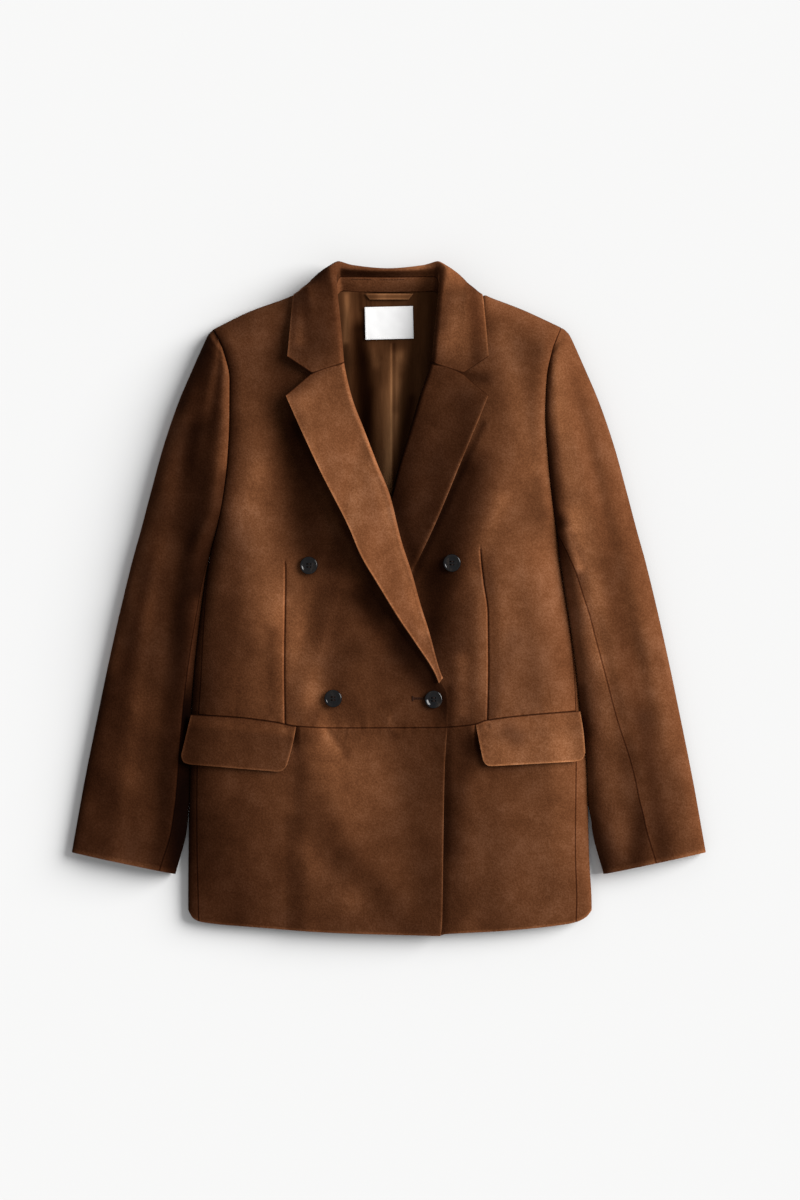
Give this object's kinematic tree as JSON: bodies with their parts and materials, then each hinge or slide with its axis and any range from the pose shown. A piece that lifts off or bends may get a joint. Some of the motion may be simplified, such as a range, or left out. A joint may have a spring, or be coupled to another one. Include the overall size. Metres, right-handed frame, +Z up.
{
  "type": "double-breasted blazer",
  "caption": "Double-breasted faux-suede blazer with notched lapels, buttoned and laid flat on its back; neck, hem and cuffs open.",
  "frame": {"origin": "on the surface it lies on, under the middle of the coat's outline", "axes": "+Z up, out of the coat's front; +Y from the hem to the collar; +X to the wearer's left"},
  "size_m": [0.7113, 0.7558, 0.0637],
  "materials": {
    "suede": "brown faux suede with a short mottled nap",
    "lining_satin": "brown satin",
    "label_cloth": "plain white woven label",
    "button_horn": "near-black imitation horn, polished"
  },
  "bodies": {
    "root": {"back": "suede", "collar": "suede", "collar_stand": "suede", "left_flap": "suede", "left_lapel": "suede", "left_side_panel": "suede", "left_skirt_front": "suede", "left_top_sleeve": "suede", "left_under_sleeve": "suede", "left_upper_front": "suede", "right_flap": "suede", "right_lapel": "suede", "right_side_panel": "suede", "right_skirt_front": "suede", "right_top_sleeve": "suede", "right_under_sleeve": "suede", "right_upper_front": "suede", "back_lining": "lining_satin", "hanger_loop": "lining_satin", "label": "label_cloth", "button_fastened": "button_horn", "button_lower_right": "button_horn", "button_upper_left": "button_horn", "button_upper_right": "button_horn"}
  },
  "joints": []
}
